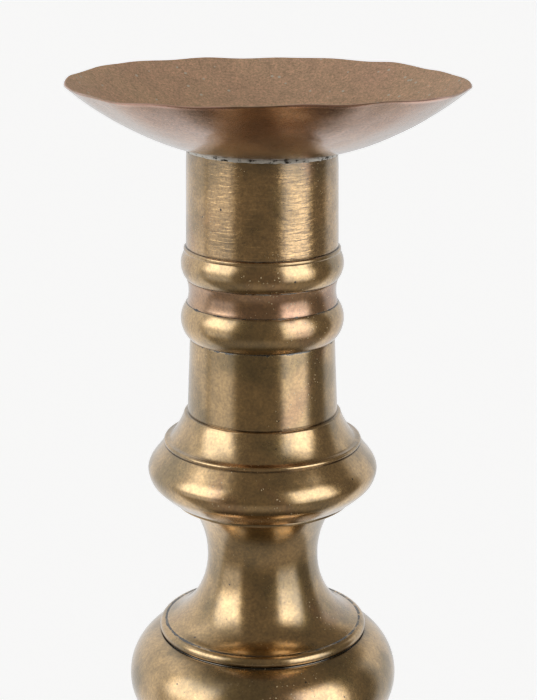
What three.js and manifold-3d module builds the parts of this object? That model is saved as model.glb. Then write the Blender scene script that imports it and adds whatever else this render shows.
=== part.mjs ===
// Altar candlestick of hollow cast and turned brass sections, stacked on one iron pricket rod.
// Millimetres, +Z up. The origin is on the floor, under the axis of the base.
import * as THREE from "three";
import { mergeVertices } from "three/addons/utils/BufferGeometryUtils.js";
import Module from "manifold-3d";

// ---- Driving dimensions ----
const RIM_HEIGHT = 700; // floor to the plane of the drip pan's rim
const PAN_RADIUS = 100;
const NECK_RADIUS = 38;
const KNOP_RADIUS = 59.2;
const WAIST_RADIUS = 28.8;
const BULB_RADIUS = 70.5;
const BASE_RADIUS = 120;
const GAP = 0.3; // air left between two sections that touch
const TUBE_BORE = 34; // inside radius of the straight sections
const PLATE_BORE = 30; // inside radius of the plates under the knop and the bulb
const CAST_WALL = 2.5; // wall of the cast shells
const SHEET = 1.2; // thickness of the beaten drip pan
const TURNS = 24; // sides of a large turned piece
const SMALL_TURNS = 16; // sides of a small turned piece

// Heights of the seams between sections, floor to seam, from the top down.
const SEAM = {
  pan: 666,
  neck: 619.2,
  upperBead: 603,
  scotia: 590.5,
  lowerBead: 572,
  column: 532.8,
  shoulder: 515.8,
  knop: 487.4,
  knopPlate: 484.7,
  waist: 417.5,
  collar: 411.2,
  bulb: 359.6,
  bulbPlate: 357,
  lowerWaist: 248,
  lowerCollar: 240,
  lowerKnop: 206,
  baseCollar: 198,
  dome: 52,
  rim: 34.4,
};

// Bead turned round the seam between two tubes: crown radius, crown height, radius of its arc.
const UPPER_BEAD = { crown: 41.1, height: 610.5, arc: 11.9 };
const LOWER_BEAD = { crown: 41.4, height: 582, arc: 13.8 };

// ---- Materials ----
function metal(color, roughness, metalness = 1) {
  return new THREE.MeshStandardMaterial({ color, roughness, metalness });
}
const brass = metal(0x9a8448, 0.42);
const copperyBrass = metal(0xa07a55, 0.5);
const solder = metal(0x8b8880, 0.55);
const iron = metal(0x4a4541, 0.7);

// ---- Curves: each returns points [radius, height] ----
function arc([centreR, centreZ], radius, fromDegrees, toDegrees, steps) {
  return Array.from({ length: steps + 1 }, (_, i) => {
    const angle = THREE.MathUtils.degToRad(fromDegrees + ((toDegrees - fromDegrees) * i) / steps);
    return [centreR + radius * Math.cos(angle), centreZ + radius * Math.sin(angle)];
  });
}

// Arc of a bead between two heights, measured round the bead's crown.
function beadArc({ crown, height, arc: radius }, fromZ, toZ, steps) {
  const angleAt = (z) => THREE.MathUtils.radToDeg(Math.asin((z - height) / radius));
  return arc([crown - radius, height], radius, angleAt(fromZ), angleAt(toZ), steps);
}

// Concave flare away from a waist: a quarter ellipse of width flare and height reach.
function cove({ waist, z, flare, reach }, fromZ, toZ, steps) {
  return Array.from({ length: steps + 1 }, (_, i) => {
    const height = fromZ + ((toZ - fromZ) * i) / steps;
    return [waist + flare * (1 - Math.sqrt(1 - ((height - z) / reach) ** 2)), height];
  });
}

function bezier(start, control1, control2, end, steps) {
  const points = [start, control1, control2, end].map(([r, z]) => new THREE.Vector2(r, z));
  return new THREE.CubicBezierCurve(...points).getPoints(steps).map((p) => [p.x, p.y]);
}

const inward = (points, wall) => points.map(([r, z]) => [r - wall, z]);

// Step that rises from a section's top into the bore above it and keeps the two in line.
function register(bore, topZ, rise) {
  const outside = bore - GAP;
  const inside = outside - CAST_WALL;
  const ledge = topZ - 4;
  return [
    [inside, ledge],
    [inside, topZ + rise],
    [outside, topZ + rise],
    [outside, topZ],
  ];
}
const TUBE_REGISTER = 5;
const PLATE_REGISTER = 2;

const candlestick = new THREE.Group();

function add(name, geometry, material, parent = candlestick) {
  const mesh = new THREE.Mesh(geometry, material);
  mesh.name = name;
  parent.add(mesh);
  return mesh;
}

// Solid of revolution. The outline runs down the outside, then up the inside.
function turned(outline, sides = TURNS) {
  const onAxis = outline[0][0] === 0;
  const points = outline.map(([r, z]) => new THREE.Vector2(r, z));
  if (!onAxis) points.push(points[0].clone());
  return new THREE.LatheGeometry(points.reverse(), sides).rotateX(Math.PI / 2);
}

function flatRing(outerRadius, bore, topZ, footZ) {
  return [
    [outerRadius, topZ],
    [outerRadius, footZ],
    [bore, footZ],
    [bore, topZ],
  ];
}

const under = (seam) => seam - GAP / 2; // top of the section below a seam
const over = (seam) => seam + GAP / 2; // foot of the section above a seam

// ---- Booleans ----
const wasm = await Module();
wasm.setup();

function toSolid(geometry) {
  const positions = geometry.clone();
  positions.deleteAttribute("normal");
  positions.deleteAttribute("uv");
  const merged = mergeVertices(positions, 1e-3);
  return new wasm.Manifold(
    new wasm.Mesh({
      numProp: 3,
      vertProperties: new Float32Array(merged.attributes.position.array),
      triVerts: new Uint32Array(merged.index.array),
    }),
  );
}

function toGeometry(solid) {
  const { vertProperties, triVerts } = solid.getMesh();
  const geometry = new THREE.BufferGeometry();
  geometry.setAttribute("position", new THREE.BufferAttribute(vertProperties, 3));
  geometry.setIndex(new THREE.BufferAttribute(triVerts, 1));
  geometry.computeVertexNormals();
  return geometry;
}

function uprightCylinder(radius, bottomZ, topZ, sides = SMALL_TURNS) {
  return new THREE.CylinderGeometry(radius, radius, topZ - bottomZ, sides)
    .rotateX(Math.PI / 2)
    .translate(0, 0, (topZ + bottomZ) / 2);
}

// ---- Pricket rod: the iron spine, a candle spike at its top and a thread at its foot ----
const ROD_RADIUS = 5;
const ROD_FOOT = 115;
const SPIKE_TIP = 684;
const PAN_FLOOR = RIM_HEIGHT - 35.5; // top of the drip pan at its centre

function addPricket() {
  const spikeFoot = PAN_FLOOR + 6;
  const outline = [
    [0, SPIKE_TIP],
    [1, SPIKE_TIP],
    [4.2, spikeFoot],
    [4.2, PAN_FLOOR],
    [4.2, PAN_FLOOR - 8],
    [ROD_RADIUS, PAN_FLOOR - 12],
    [ROD_RADIUS, ROD_FOOT + 1],
    [ROD_RADIUS - 1, ROD_FOOT],
    [0, ROD_FOOT],
  ];
  add("pricket_rod", turned(outline, 12), iron);
  const washerTop = PAN_FLOOR + 4.2;
  const washerFoot = PAN_FLOOR + 2;
  add("pricket_washer", turned(flatRing(17, 5, washerTop, washerFoot)), brass);
}

// ---- Drip pan: a dish beaten from sheet, a little off centre, tilted and wavy at its edge ----
const PAN_OFFSET = 2.9;
const PAN_LIFT = 1.5; // mean height of the wavy edge above RIM_HEIGHT
const PAN_TILT = THREE.MathUtils.degToRad(0.3); // right side down
const PAN_TIP = THREE.MathUtils.degToRad(0.9); // front up
const DISH_RADIUS = 150; // radius of the dish's underside
const RIM_WAVES = [
  { lobes: 2, height: 0.7, turn: -67 },
  { lobes: 3, height: 0.6, turn: 42 },
  { lobes: 5, height: 0.15, turn: -8 },
];

function rimWave(angle) {
  return RIM_WAVES.reduce((sum, { lobes, height, turn }) => {
    return sum + height * Math.cos(lobes * (angle - THREE.MathUtils.degToRad(turn)));
  }, 0);
}

function dishArc(radius, centreZ, fromR, toR, steps) {
  const angleAt = (r) => -THREE.MathUtils.radToDeg(Math.acos(r / radius));
  return arc([0, centreZ], radius, angleAt(fromR), angleAt(toR), steps);
}

function addDripPan() {
  const panGroup = new THREE.Group();
  panGroup.position.set(PAN_OFFSET, 0, RIM_HEIGHT + PAN_LIFT);
  panGroup.rotation.set(-PAN_TIP, PAN_TILT, 0);
  candlestick.add(panGroup);

  const centreZ = Math.sqrt(DISH_RADIUS ** 2 - PAN_RADIUS ** 2);
  const rodHole = 8;
  const underside = dishArc(DISH_RADIUS, centreZ, PAN_RADIUS, rodHole, 9);
  const inside = dishArc(DISH_RADIUS - SHEET, centreZ, rodHole, PAN_RADIUS - SHEET, 9);
  const dish = turned([...underside, ...inside], 32);
  const position = dish.getAttribute("position");
  for (let i = 0; i < position.count; i++) {
    const x = position.getX(i);
    const y = position.getY(i);
    const lift = rimWave(Math.atan2(y, x)) * (Math.hypot(x, y) / PAN_RADIUS) ** 4;
    position.setZ(i, position.getZ(i) + lift);
  }
  add("drip_pan", dish, copperyBrass, panGroup);

  // Line of soft solder that fills the corner between the pan and the neck.
  const cornerR = NECK_RADIUS + 0.4;
  const width = 2.4;
  const depth = 3;
  const undersideZ = centreZ - Math.sqrt(DISH_RADIUS ** 2 - (cornerR - PAN_OFFSET) ** 2);
  const top = undersideZ - 2 * GAP;
  const fillet = [[cornerR + width, top], [cornerR, top - depth], [cornerR, top]];
  const tipShift = -top * Math.sin(PAN_TIP);
  add("pan_solder", turned(fillet), solder, panGroup).position.set(-PAN_OFFSET, tipShift, 0);
}

// ---- Neck: a straight tube closed by a cap, with two beads and a hollow between them ----
function addNeck() {
  const capTop = PAN_FLOOR - SHEET - 1.2;
  add("neck_cap", turned(flatRing(TUBE_BORE - GAP, ROD_RADIUS + 1, capTop, capTop - 3)), brass);

  const neckTop = under(SEAM.pan) - 1;
  const neckFoot = over(SEAM.neck);
  const tube = [
    [37.7, neckTop],
    [38.35, neckFoot],
    [TUBE_BORE, neckFoot],
    [TUBE_BORE, neckTop],
  ];
  add("neck_tube", turned(tube), brass);

  const beadTop = under(SEAM.neck);
  const upperBead = [
    [38.6, beadTop],
    ...beadArc(UPPER_BEAD, beadTop - 1.2, over(SEAM.upperBead), 6),
    [TUBE_BORE, over(SEAM.upperBead)],
    [TUBE_BORE, beadTop - 4],
    ...register(TUBE_BORE, beadTop, TUBE_REGISTER),
  ];
  add("upper_bead_ring", turned(upperBead), brass);

  const scotiaTop = under(SEAM.upperBead);
  const scotiaFoot = over(SEAM.scotia);
  const scotia = [
    ...cove({ waist: 37.3, z: 596.5, flare: 12, reach: 15 }, scotiaTop, scotiaFoot, 5),
    [TUBE_BORE, scotiaFoot],
    [TUBE_BORE, scotiaTop],
  ];
  add("scotia_ring", turned(scotia), copperyBrass);

  const lowerTop = under(SEAM.scotia);
  const lowerFoot = over(SEAM.lowerBead);
  const lowerBead = [
    ...beadArc(LOWER_BEAD, lowerTop, lowerFoot, 7),
    [TUBE_BORE, lowerFoot],
    [TUBE_BORE, lowerTop],
  ];
  add("lower_bead_ring", turned(lowerBead), brass);
}

// ---- Column: a short tube that widens slightly towards the knop ----
function addColumn() {
  const top = under(SEAM.lowerBead);
  const foot = over(SEAM.column);
  const outline = [
    [36.9, top],
    [37.4, 559],
    [38.5, foot],
    [TUBE_BORE, foot],
    [TUBE_BORE, top - 4],
    ...register(TUBE_BORE, top, TUBE_REGISTER),
  ];
  add("column_tube", turned(outline), brass);
}

// ---- Knop: a flared shoulder on a round-edged hollow ring, closed by a thin plate ----
function addKnop() {
  const shoulderTop = under(SEAM.column);
  const shoulderFoot = over(SEAM.shoulder);
  const flare = arc([80.2, 545.5], 42.2, 198.5, 224, 5);
  const shoulder = [
    [40.2, shoulderTop],
    ...flare,
    [50.4, flare.at(-1)[1]],
    [50.4, shoulderFoot],
    [44, shoulderFoot],
    ...inward(flare, CAST_WALL + 2).reverse().slice(1, -1),
    [TUBE_BORE, shoulderTop - 4],
    ...register(TUBE_BORE, shoulderTop, TUBE_REGISTER),
  ];
  add("knop_shoulder", turned(shoulder), brass);

  const top = under(SEAM.shoulder);
  const foot = over(SEAM.knop);
  const edge = arc([KNOP_RADIUS - 10, 501.5], 10, 48, -48, 5);
  const bowl = [
    [50.2, top],
    ...edge,
    [48.2, foot],
    [45.2, foot],
    ...inward(edge, CAST_WALL + 0.5).reverse(),
    [46.5, top],
  ];
  add("knop_bowl", turned(bowl), brass);

  const plateTop = under(SEAM.knop);
  const plateFoot = over(SEAM.knopPlate);
  add("knop_underplate", turned(flatRing(45.9, PLATE_BORE, plateTop, plateFoot)), brass);
}

// ---- Upper waist: a trumpet that flares down to the collar of the bulb ----
function addWaist() {
  const top = under(SEAM.knopPlate);
  const foot = over(SEAM.waist);
  const narrowZ = 454;
  const upper = { waist: WAIST_RADIUS, z: narrowZ, flare: 38, reach: 44 };
  const lower = { waist: WAIST_RADIUS, z: narrowZ, flare: 32, reach: 38.5 };
  const outside = [...cove(upper, top, narrowZ, 4), ...cove(lower, narrowZ, foot, 6).slice(1)];
  const waist = [
    ...outside,
    ...inward(outside, CAST_WALL + 0.5).reverse().slice(0, -1),
    ...register(PLATE_BORE, top, PLATE_REGISTER),
  ];
  add("upper_waist", turned(waist), brass);
}

// ---- Bulb: a squat hollow ball under a half-round collar, closed by a plate ----
const BULB_ARC = 27;
const BULB_HEIGHT = 387; // height of the bulb's widest line

function addBulb() {
  const collarTop = under(SEAM.waist);
  const collarFoot = over(SEAM.collar);
  const collar = [
    ...arc([51.2, (collarTop + collarFoot) / 2], 3, 85, -85, 4),
    [46, collarFoot],
    [46, collarTop],
  ];
  add("bulb_collar", turned(collar), brass);

  const top = under(SEAM.collar);
  const foot = over(SEAM.bulb);
  const centre = [BULB_RADIUS - BULB_ARC, BULB_HEIGHT];
  const bulb = [
    [52.5, top],
    ...arc(centre, BULB_ARC, 60, -88, 9),
    [centre[0] - 6, foot],
    ...arc(centre, BULB_ARC - CAST_WALL, -88, 66, 8),
    [49, top],
  ];
  add("bulb_shell", turned(bulb), brass);

  const plateTop = under(SEAM.bulb);
  const plateFoot = over(SEAM.bulbPlate);
  add("bulb_underplate", turned(flatRing(46, PLATE_BORE, plateTop, plateFoot)), brass);
}

// ---- Lower stem: a longer trumpet, a collar, a small knop and a collar ----
function addLowerStem() {
  const top = under(SEAM.bulbPlate);
  const foot = over(SEAM.lowerWaist);
  const narrowZ = 305;
  const upper = { waist: 27, z: narrowZ, flare: 24, reach: 62 };
  const lower = { waist: 27, z: narrowZ, flare: 33, reach: 60 };
  const outside = [...cove(upper, top, narrowZ, 4), ...cove(lower, narrowZ, foot, 6).slice(1)];
  const waist = [
    ...outside,
    ...inward(outside, CAST_WALL + 0.5).reverse().slice(0, -1),
    ...register(PLATE_BORE, top, PLATE_REGISTER),
  ];
  add("lower_waist", turned(waist), brass);

  const collarTop = under(SEAM.lowerWaist);
  const collarFoot = over(SEAM.lowerCollar);
  const collarMiddle = (collarTop + collarFoot) / 2;
  add(
    "lower_collar",
    turned([...arc([48.6, collarMiddle], 3.8, 85, -85, 4), [43, collarFoot], [43, collarTop]]),
    brass,
  );

  const knopTop = under(SEAM.lowerCollar);
  const knopFoot = over(SEAM.lowerKnop);
  const knopArc = 17.5;
  const knopCentre = [40, (knopTop + knopFoot) / 2];
  const wallArc = knopArc - CAST_WALL;
  const knop = [
    ...arc(knopCentre, knopArc, 74, -74, 7),
    [37, knopCentre[1] - knopArc * Math.sin(THREE.MathUtils.degToRad(74))],
    ...arc([36, knopCentre[1]], wallArc, -70, 70, 6),
    [37, knopCentre[1] + knopArc * Math.sin(THREE.MathUtils.degToRad(74))],
  ];
  add("lower_knop", turned(knop), brass);

  const baseCollarTop = under(SEAM.lowerKnop);
  const baseCollarFoot = over(SEAM.baseCollar);
  const baseCollar = [
    [45, baseCollarTop],
    ...arc([44.6, (baseCollarTop + baseCollarFoot) / 2], 3.2, 60, -60, 3),
    [45, baseCollarFoot],
    [36, baseCollarFoot],
    [36, baseCollarTop],
  ];
  add("base_collar", turned(baseCollar), brass);
}

// ---- Base: a bell-shaped dome on a moulded rim ----
const CLAMP_SEAT = 146; // height at which the clamp bar bears up inside the dome

function addBase() {
  const top = under(SEAM.baseCollar);
  const foot = over(SEAM.dome);
  const shoulderCorner = [80, 142];
  const outside = [
    ...bezier([43, top], [42, 165], [56, 149], shoulderCorner, 6),
    ...bezier(shoulderCorner, [97, 136], [103, 122], [103.5, 100], 5).slice(1),
    ...bezier([103.5, 100], [104, 80], [107, 62], [113, foot], 4).slice(1),
  ];
  const wall = CAST_WALL + 0.5;
  const innerCorner = [shoulderCorner[0] - 2, shoulderCorner[1] - wall];
  const inside = [
    ...bezier([113 - wall, foot], [107 - wall, 62], [104 - wall, 80], [103.5 - wall, 100], 4),
    ...bezier([103.5 - wall, 100], [103 - wall, 121], [94, 133], innerCorner, 5).slice(1),
    ...bezier(innerCorner, [54, 146], [39.5, 163], [40, top], 6).slice(1),
  ];
  add("base_dome", turned([...outside, ...inside]), brass);

  const rimTop = under(SEAM.dome);
  const rimFoot = SEAM.rim + GAP / 2;
  const plate = 4;
  const rim = [
    [113.5, rimTop],
    [114, rimTop - 2.5],
    ...arc([BASE_RADIUS - 7, rimFoot + 8], 7, 70, -70, 5),
    [114.5, rimFoot],
    [90, rimFoot],
    [90, rimFoot + plate],
    [108.5, rimFoot + plate],
    [109.5, rimTop],
  ];
  let solid = toSolid(turned(rim));
  for (const angle of FOOT_ANGLES) {
    const [x, y] = footPlace(angle);
    const hole = uprightCylinder(STUD_RADIUS + GAP * 1.4, rimFoot - 1, rimFoot + plate + 1).translate(x, y, 0);
    solid = solid.subtract(toSolid(hole));
  }
  add("base_rim", toGeometry(solid), brass);
}

// ---- Feet: three turned buns, each on a stud with a nut inside the rim ----
const FOOT_CIRCLE = 99;
const FOOT_ANGLES = [30, 150, 270];
const STUD_RADIUS = 3.8;

function footPlace(degrees) {
  const angle = THREE.MathUtils.degToRad(degrees);
  return [FOOT_CIRCLE * Math.cos(angle), FOOT_CIRCLE * Math.sin(angle)];
}

function hexagon(acrossFlats, holeRadius) {
  const corner = acrossFlats / Math.sqrt(3);
  const shape = new THREE.Shape(
    Array.from({ length: 6 }, (_, i) => {
      const angle = (i * Math.PI) / 3;
      return new THREE.Vector2(corner * Math.cos(angle), corner * Math.sin(angle));
    }),
  );
  shape.holes.push(new THREE.Path().absarc(0, 0, holeRadius, 0, 2 * Math.PI, true));
  return shape;
}

function addFeet() {
  const boreFoot = 14;
  const bunTop = under(SEAM.rim);
  const bun = [
    [11, bunTop],
    ...arc([8.5, 17.5], 12.5, 72, -72, 6),
    [11, 0],
    [0, 0],
    [0, boreFoot],
    [STUD_RADIUS + GAP, boreFoot],
    [STUD_RADIUS + GAP, bunTop],
  ];
  const plateTop = SEAM.rim + GAP / 2 + 4;
  const nutHeight = 6;
  FOOT_ANGLES.forEach((degrees, i) => {
    const place = new THREE.Group();
    place.position.set(...footPlace(degrees), 0);
    candlestick.add(place);
    add(`bun_foot_${i + 1}`, turned(bun, SMALL_TURNS), brass, place);
    const stud = uprightCylinder(STUD_RADIUS, boreFoot + GAP, plateTop + nutHeight + 3, 12);
    add(`foot_stud_${i + 1}`, stud, iron, place);
    const nut = new THREE.ExtrudeGeometry(hexagon(13, STUD_RADIUS + GAP), {
      depth: nutHeight,
      bevelEnabled: false,
      curveSegments: 8,
    });
    add(`foot_nut_${i + 1}`, nut, iron, place).position.z = plateTop + GAP;
  });
}

// ---- Clamp: a bar across the inside of the dome, a washer and a wing nut on the rod's thread ----
function addClamp() {
  const barLength = 92;
  const barWidth = 24;
  const barDepth = 6;
  const hole = ROD_RADIUS + 0.6;
  const bar = new THREE.Shape()
    .moveTo(-barLength / 2, -barWidth / 3)
    .lineTo(-barLength / 2 + 5, -barWidth / 2)
    .lineTo(barLength / 2 - 5, -barWidth / 2)
    .lineTo(barLength / 2, -barWidth / 3)
    .lineTo(barLength / 2, barWidth / 3)
    .lineTo(barLength / 2 - 5, barWidth / 2)
    .lineTo(-barLength / 2 + 5, barWidth / 2)
    .lineTo(-barLength / 2, barWidth / 3);
  bar.holes.push(new THREE.Path().absarc(0, 0, hole, 0, 2 * Math.PI, true));
  const barGeometry = new THREE.ExtrudeGeometry(bar, { depth: barDepth, bevelEnabled: false, curveSegments: 8 });
  const barFoot = CLAMP_SEAT - barDepth;
  add("clamp_bar", barGeometry, iron).position.z = barFoot;

  const washerTop = barFoot - GAP;
  const washerFoot = washerTop - 2.5;
  add("clamp_washer", turned(flatRing(15, hole, washerTop, washerFoot), 20), iron);

  const nutTop = washerFoot - GAP;
  const nutFoot = nutTop - 12;
  const nut = [
    [10, nutTop],
    [10, nutFoot + 3],
    [8, nutFoot],
    [hole, nutFoot],
    [hole, nutTop],
  ];
  const wing = new THREE.Shape()
    .moveTo(8, 2)
    .bezierCurveTo(14, 3, 16, -3, 22, -4)
    .bezierCurveTo(28, -4, 28, 8, 23, 10)
    .bezierCurveTo(18, 12, 14, 10, 8, 9);
  const wingThickness = 4;
  const wingGeometry = new THREE.ExtrudeGeometry(wing, {
    depth: wingThickness,
    bevelEnabled: false,
    curveSegments: 4,
  })
    .translate(0, 0, -wingThickness / 2)
    .rotateX(Math.PI / 2)
    .translate(0, 0, nutFoot);
  const otherWing = wingGeometry.clone().rotateZ(Math.PI);
  const wingNut = toSolid(turned(nut, 12)).add(toSolid(wingGeometry)).add(toSolid(otherWing));
  add("clamp_wing_nut", toGeometry(wingNut), iron);
}

candlestick.name = "altar_candlestick";
addPricket();
addDripPan();
addNeck();
addColumn();
addKnop();
addWaist();
addBulb();
addLowerStem();
addBase();
addFeet();
addClamp();

export default candlestick;
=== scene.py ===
"""An altar candlestick: hollow cast and turned brass sections, soldered in a stack under a beaten drip pan.

Lengths inside the sections are in millimetres, and heights are above the floor, as a maker would mark
them. Each mesh is made in metres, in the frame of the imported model.
"""

import math

import bpy
import numpy as np
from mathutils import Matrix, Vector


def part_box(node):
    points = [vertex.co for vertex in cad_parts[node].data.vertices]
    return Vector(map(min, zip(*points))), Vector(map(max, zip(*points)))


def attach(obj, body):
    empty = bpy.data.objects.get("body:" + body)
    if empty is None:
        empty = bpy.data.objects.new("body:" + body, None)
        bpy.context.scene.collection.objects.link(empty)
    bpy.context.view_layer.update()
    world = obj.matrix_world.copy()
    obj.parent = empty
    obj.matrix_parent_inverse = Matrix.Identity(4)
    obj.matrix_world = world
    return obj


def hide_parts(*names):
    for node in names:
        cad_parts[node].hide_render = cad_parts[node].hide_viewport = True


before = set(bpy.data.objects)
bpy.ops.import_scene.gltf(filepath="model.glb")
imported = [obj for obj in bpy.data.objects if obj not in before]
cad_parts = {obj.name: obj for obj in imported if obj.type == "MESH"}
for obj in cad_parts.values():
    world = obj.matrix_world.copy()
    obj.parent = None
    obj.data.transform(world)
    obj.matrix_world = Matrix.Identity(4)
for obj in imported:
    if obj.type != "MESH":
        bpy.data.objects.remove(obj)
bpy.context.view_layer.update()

# ---------------------------------------------------------------------------
# Neck tube. A straight cast-brass tube under the drip pan, scraped and filed by hand after it was
# soldered in, so short marks run round it. It carries the pan and the two beads.

MM = 0.001
SIDES = 144  # faces round a turned piece
FINE_STEP = 1.6  # longest face up a visible wall
SMOOTH_ANGLE = math.radians(35)
HALF_GAP = 0.15  # half of the gap between two sections


def seam_under(node):
    """Height of the seam under a section, halfway across the gap to the next one."""
    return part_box(node)[0].z / MM - HALF_GAP


def finely(outline):
    """The same outline with its long straight stretches divided."""
    points = [outline[0]]
    for (r0, z0), (r1, z1) in zip(outline, outline[1:]):
        pieces = max(1, math.ceil(math.hypot(r1 - r0, z1 - z0) / FINE_STEP))
        shares = [i / pieces for i in range(1, pieces + 1)]
        points += [(r0 + (r1 - r0) * share, z0 + (z1 - z0) * share) for share in shares]
    return points


def turned(name, outside, inside, sides=SIDES, worn=0.25):
    """Draws a wall's outline, down the outside and up the inside, and spins it round the axis."""
    outline = finely(outside) + list(inside)
    bpy.ops.object.select_all(action="DESELECT")
    bpy.ops.mesh.primitive_plane_add(size=MM)
    piece = bpy.context.object
    piece.name = piece.data.name = name
    bpy.ops.object.mode_set(mode="EDIT")
    bpy.ops.mesh.merge(type="CENTER")
    bpy.ops.transform.translate(value=(outline[0][0] * MM, 0, outline[0][1] * MM))
    for (r0, z0), (r1, z1) in zip(outline, outline[1:] + outline[:1]):
        step = ((r1 - r0) * MM, 0, (z1 - z0) * MM)
        bpy.ops.mesh.extrude_region_move(TRANSFORM_OT_translate={"value": step})
    bpy.ops.mesh.select_all(action="SELECT")
    bpy.ops.mesh.remove_doubles(threshold=0.001 * MM)
    bpy.ops.mesh.spin(steps=sides, angle=2 * math.pi, center=(0, 0, 0), axis=(0, 0, 1))
    bpy.ops.mesh.select_all(action="SELECT")
    bpy.ops.mesh.remove_doubles(threshold=0.001 * MM)
    bpy.ops.mesh.normals_make_consistent(inside=False)
    bpy.ops.object.mode_set(mode="OBJECT")
    if worn:
        bevel(piece, worn)
    bpy.ops.object.shade_smooth_by_angle(angle=SMOOTH_ANGLE)
    return piece


def bevel(piece, width, segments=2):
    """Rounds the piece's sharp edges, as handling and polishing do."""
    edge = piece.modifiers.new("worn edges", "BEVEL")
    edge.width = width * MM
    edge.segments = segments
    edge.limit_method = "ANGLE"
    edge.angle_limit = math.radians(32)
    bpy.context.view_layer.objects.active = piece
    bpy.ops.object.modifier_apply(modifier=edge.name)


def points_of(piece):
    """The piece's points, in millimetres, as rows of x, y and z."""
    points = np.empty(len(piece.data.vertices) * 3)
    piece.data.vertices.foreach_get("co", points)
    return points.reshape(-1, 3) / MM


def move_points(piece, points):
    """Puts the piece's points at new places, given in millimetres."""
    piece.data.vertices.foreach_set("co", (points * MM).ravel())
    piece.data.update()


def mark_seams(piece, *seams):
    """Stores how deep each point lies in the dirt of a seam: 1 at the seam, 0 at its width away."""
    heights = points_of(piece)[:, 2]
    grime = np.zeros(len(heights))
    for seam, width in seams:
        grime = np.maximum(grime, 1 - np.abs(heights - seam) / width)
    piece.data.attributes.new("grime", "FLOAT", "POINT").data.foreach_set("value", grime)


def follow_pan(piece, from_height):
    """Cuts the top of a piece to the slope of the pan above it."""
    points = points_of(piece)
    high = points[:, 2] > from_height
    points[high, 2] += points[high, :2] @ PAN_SLOPE
    move_points(piece, points)


def finished(piece, material, *nodes, slot="cast_brass", body="candlestick"):
    """Gives a piece its material and its body, and hides the CAD nodes that it stands for. The slot is not
    used.
    """
    piece.data.materials.clear()
    piece.data.materials.append(material)
    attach(piece, body)
    if nodes:
        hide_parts(*nodes)


def linear(hex_colour):
    """A colour written as sRGB hex, as the linear RGBA that shaders take."""
    channels = [int(hex_colour[i : i + 2], 16) / 255 for i in (1, 3, 5)]
    return [c / 12.92 if c <= 0.04045 else ((c + 0.055) / 1.055) ** 2.4 for c in channels] + [1.0]


def add_node(tree, kind, links=None, **settings):
    """Adds a shader node: settings are its own values; links are values or outputs for its inputs."""
    node = tree.nodes.new("ShaderNode" + kind)
    for name, value in settings.items():
        setattr(node, name, value)
    for key, value in (links or {}).items():
        if isinstance(value, bpy.types.NodeSocket):
            tree.links.new(value, node.inputs[key])
        else:
            node.inputs[key].default_value = value
    return node.outputs


def new_material(name):
    """An empty material with its node tree."""
    material = bpy.data.materials.new(name)
    material.use_nodes = True
    material.node_tree.nodes.clear()
    return material, material.node_tree


GLOSS = 0.19  # roughness where the brass is rubbed
PITTING = 0.3  # how dark the pinholes are, from 0 to 1
COAT_IOR = 1.95


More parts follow.
